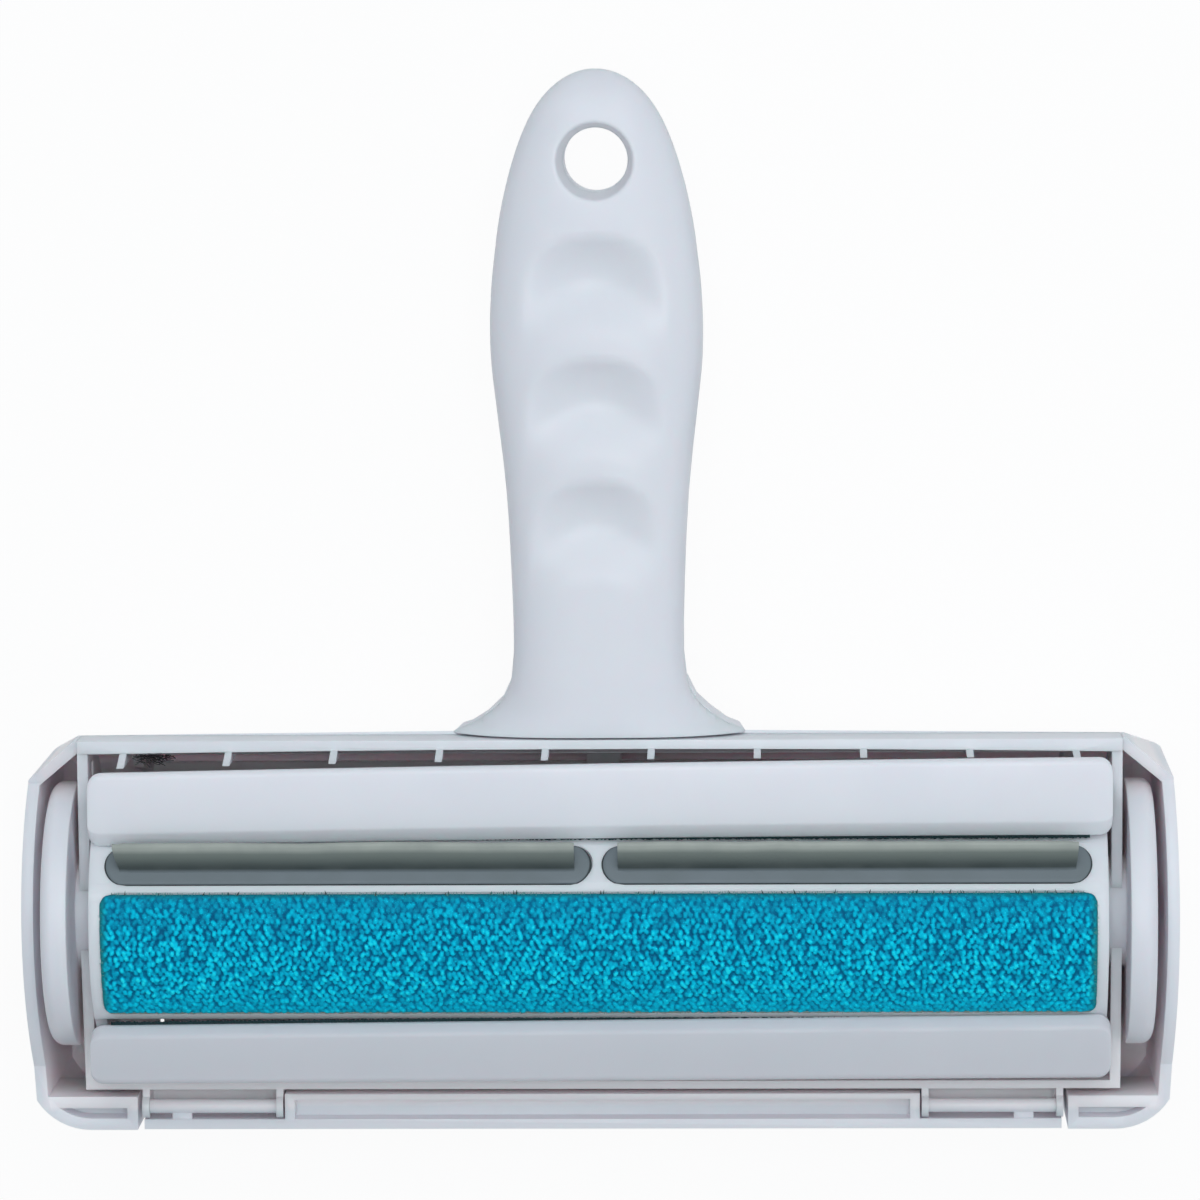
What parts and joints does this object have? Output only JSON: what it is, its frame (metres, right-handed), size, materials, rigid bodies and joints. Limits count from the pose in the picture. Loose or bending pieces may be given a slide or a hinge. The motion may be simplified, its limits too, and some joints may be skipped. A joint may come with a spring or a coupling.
{
  "type": "pet hair removal brush",
  "caption": "Reusable roller for pet hair: a rocking drum with pile fabric and rubber fins works between guide bars, and hair gathers behind it until the hinged lid opens.",
  "frame": {"origin": "centre of the bounding box's bottom, on the surface that the flat back lies on", "axes": "+X along the head, +Y from the head to the handle's tip, +Z out of the working face"},
  "size_m": [0.198, 0.1825, 0.0584],
  "materials": {
    "shell": "satin",
    "shell_grey": "satin",
    "fabric": "pile",
    "rubber": "matte",
    "steel": "plated"
  },
  "bodies": {
    "brush_head": {"housing": "shell", "handle_cover": "shell", "roller_frame": "shell", "upper_guide_bar": "shell", "lower_guide_bar": "shell_grey", "upper_wiper_strip": "fabric", "lower_wiper_strip": "fabric", "button_spring": "steel"},
    "drum": {"drum_shell": "shell", "front_fabric_strip": "fabric", "rear_fabric_strip": "fabric", "left_rubber_fin": "rubber", "right_rubber_fin": "rubber", "left_end_disc": "shell", "right_end_disc": "shell", "left_disc_screw": "steel", "right_disc_screw": "steel"},
    "lid": {"dust_lid": "shell"},
    "button": {"release_button": "shell_grey"}
  },
  "joints": [
    {"name": "drum_rock", "type": "hinge", "parent": "brush_head", "child": "drum", "pos_m": [0, -0.054, 0.0355], "axis": [1, 0, 0], "range_deg": [0, 64]},
    {"name": "lid_open", "type": "hinge", "parent": "brush_head", "child": "lid", "pos_m": [0, -0.0875, 0.0387], "axis": [-1, 0, 0], "range_deg": [0, 100]},
    {"name": "button_press", "type": "slide", "parent": "brush_head", "child": "button", "axis": [0, 0, 1], "range_m": [0, 0.0022], "stiffness_N_per_m": 400, "springref_m": -0.002, "deforming": ["button_spring"]}
  ]
}
